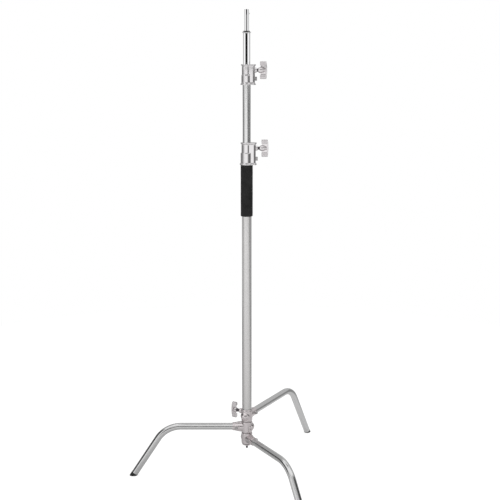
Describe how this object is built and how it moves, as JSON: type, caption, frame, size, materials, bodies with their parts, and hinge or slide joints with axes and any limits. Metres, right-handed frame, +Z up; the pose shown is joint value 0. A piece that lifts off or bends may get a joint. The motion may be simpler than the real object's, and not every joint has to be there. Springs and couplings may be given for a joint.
{
  "type": "lighting stand",
  "caption": "Free-standing lighting stand: folding legs on a turtle base, a lift-out column with a foam grip, and telescopic risers locked by winged screw knobs, ending in a stud.",
  "frame": {"origin": "on the column's axis, at floor level", "axes": "+Z up along the column; +X towards the riser knobs, -Y towards the viewer of the picture"},
  "size_m": [0.7167, 0.8108, 1.7259],
  "materials": {
    "column_steel": "brushed stainless tube",
    "riser_steel": "satin stainless tube",
    "chrome_tube": "bright chrome plate",
    "leg_steel": "polished stainless tube",
    "cast_hub": "satin die casting",
    "cast_collar": "polished die casting",
    "cast_knob": "satin die casting",
    "dark_steel": "blackened steel",
    "bolt_steel": "zinc-plated steel",
    "turned_steel": "turned steel",
    "brass_shoe": "plain brass",
    "nylon_bush": "black nylon",
    "rubber_foot": "black rubber",
    "foam_black": "closed-cell foam"
  },
  "bodies": {
    "base": {"top_hub": "cast_hub", "center_post": "turned_steel", "post_plug": "turned_steel", "post_set_screw": "dark_steel", "hub_washers": "nylon_bush", "bottom_cap": "cast_hub", "bottom_stud": "dark_steel", "rear_leg_tube": "leg_steel", "rear_leg_foot": "rubber_foot", "rear_leg_bolt": "bolt_steel", "rear_leg_nut": "bolt_steel"},
    "left_leg": {"left_hub": "cast_hub", "left_leg_tube": "leg_steel", "left_leg_foot": "rubber_foot", "left_leg_bolt": "bolt_steel", "left_leg_nut": "bolt_steel", "left_stop_screw": "dark_steel"},
    "front_leg": {"front_hub": "cast_hub", "front_leg_tube": "leg_steel", "front_leg_foot": "rubber_foot", "front_leg_bolt": "bolt_steel", "front_leg_nut": "bolt_steel", "front_stop_screw": "dark_steel"},
    "base_lock_shoe": {"base_shoe": "brass_shoe"},
    "base_lock_knob": {"base_screw": "dark_steel", "base_knob": "cast_knob"},
    "spigot": {"column_spigot": "turned_steel"},
    "column": {"column_tube": "column_steel", "foam_grip": "foam_black", "lower_collar": "cast_collar", "lower_collar_bush": "nylon_bush", "lower_collar_bolt": "bolt_steel"},
    "lower_lock_shoe": {"lower_shoe": "brass_shoe"},
    "lower_lock_knob": {"lower_screw": "dark_steel", "lower_knob": "cast_knob"},
    "riser_1_carriage": {"riser_1_guide": "nylon_bush"},
    "riser_1": {"riser_1_tube": "riser_steel", "riser_1_end_plug": "turned_steel", "riser_1_guide_washer": "turned_steel", "riser_1_guide_screw": "dark_steel", "upper_collar": "cast_collar", "upper_collar_bush": "nylon_bush", "upper_collar_bolt": "bolt_steel"},
    "upper_lock_shoe": {"upper_shoe": "brass_shoe"},
    "upper_lock_knob": {"upper_screw": "dark_steel", "upper_knob": "cast_knob"},
    "riser_2_carriage": {"riser_2_guide": "nylon_bush"},
    "riser_2": {"riser_2_tube": "chrome_tube", "riser_2_end_plug": "turned_steel", "riser_2_guide_washer": "turned_steel", "riser_2_guide_screw": "dark_steel", "top_stud": "chrome_tube", "safety_spring": "turned_steel"},
    "safety_pin": {"safety_pin": "chrome_tube"}
  },
  "joints": [
    {"name": "left_leg_fold", "type": "hinge", "parent": "base", "child": "left_leg", "pos_m": [0, 0, 0.196], "axis": [0, 0, 1], "range_deg": [-120, 0]},
    {"name": "front_leg_fold", "type": "hinge", "parent": "base", "child": "front_leg", "pos_m": [0, 0, 0.152], "axis": [0, 0, 1], "range_deg": [0, 120]},
    {"name": "base_shoe_slide", "type": "slide", "parent": "base", "child": "base_lock_shoe", "axis": [-0.866, 0.5, 0], "range_m": [0, 0.00263]},
    {"name": "base_knob_turn", "type": "hinge", "parent": "base_lock_shoe", "child": "base_lock_knob", "pos_m": [-0.03031, 0.0175, 0.2532], "axis": [-0.866, 0.5, 0], "range_deg": [0, 631]},
    {"name": "column_lift", "type": "slide", "parent": "base", "child": "spigot", "axis": [0, 0, 1], "range_m": [0, 0.09]},
    {"name": "column_swivel", "type": "hinge", "parent": "spigot", "child": "column", "pos_m": [0, 0, 0.266], "axis": [0, 0, 1], "continuous": true},
    {"name": "lower_shoe_slide", "type": "slide", "parent": "column", "child": "lower_lock_shoe", "axis": [1, 0, 0], "range_m": [0, 0.00263]},
    {"name": "lower_knob_turn", "type": "hinge", "parent": "lower_lock_shoe", "child": "lower_lock_knob", "pos_m": [0.046, 0, 1.2434], "axis": [1, 0, 0], "range_deg": [0, 631]},
    {"name": "riser_1_slide", "type": "slide", "parent": "column", "child": "riser_1_carriage", "axis": [0, 0, 1], "range_m": [-0.202, 0.63]},
    {"name": "riser_1_swivel", "type": "hinge", "parent": "riser_1_carriage", "child": "riser_1", "pos_m": [0, 0, 0.563], "axis": [0, 0, 1], "continuous": true},
    {"name": "upper_shoe_slide", "type": "slide", "parent": "riser_1", "child": "upper_lock_shoe", "axis": [1, 0, 0], "range_m": [0, 0.00263]},
    {"name": "upper_knob_turn", "type": "hinge", "parent": "upper_lock_shoe", "child": "upper_lock_knob", "pos_m": [0.041, 0, 1.5174], "axis": [1, 0, 0], "range_deg": [0, 631]},
    {"name": "riser_2_slide", "type": "slide", "parent": "riser_1", "child": "riser_2_carriage", "axis": [0, 0, 1], "range_m": [-0.106, 0.69]},
    {"name": "riser_2_swivel", "type": "hinge", "parent": "riser_2_carriage", "child": "riser_2", "pos_m": [0, 0, 0.777], "axis": [0, 0, 1], "continuous": true},
    {"name": "safety_pin_press", "type": "slide", "parent": "riser_2", "child": "safety_pin", "axis": [1, 0, 0], "range_m": [-0.0032, 0], "stiffness_N_per_m": 400, "springref_m": 0.003, "deforming": ["safety_spring"]}
  ],
  "couplings": [
    {"joint": "base_knob_turn", "follows": "base_shoe_slide", "rad_per_m": 4188.8},
    {"joint": "lower_knob_turn", "follows": "lower_shoe_slide", "rad_per_m": 4188.8},
    {"joint": "upper_knob_turn", "follows": "upper_shoe_slide", "rad_per_m": 4188.8}
  ]
}
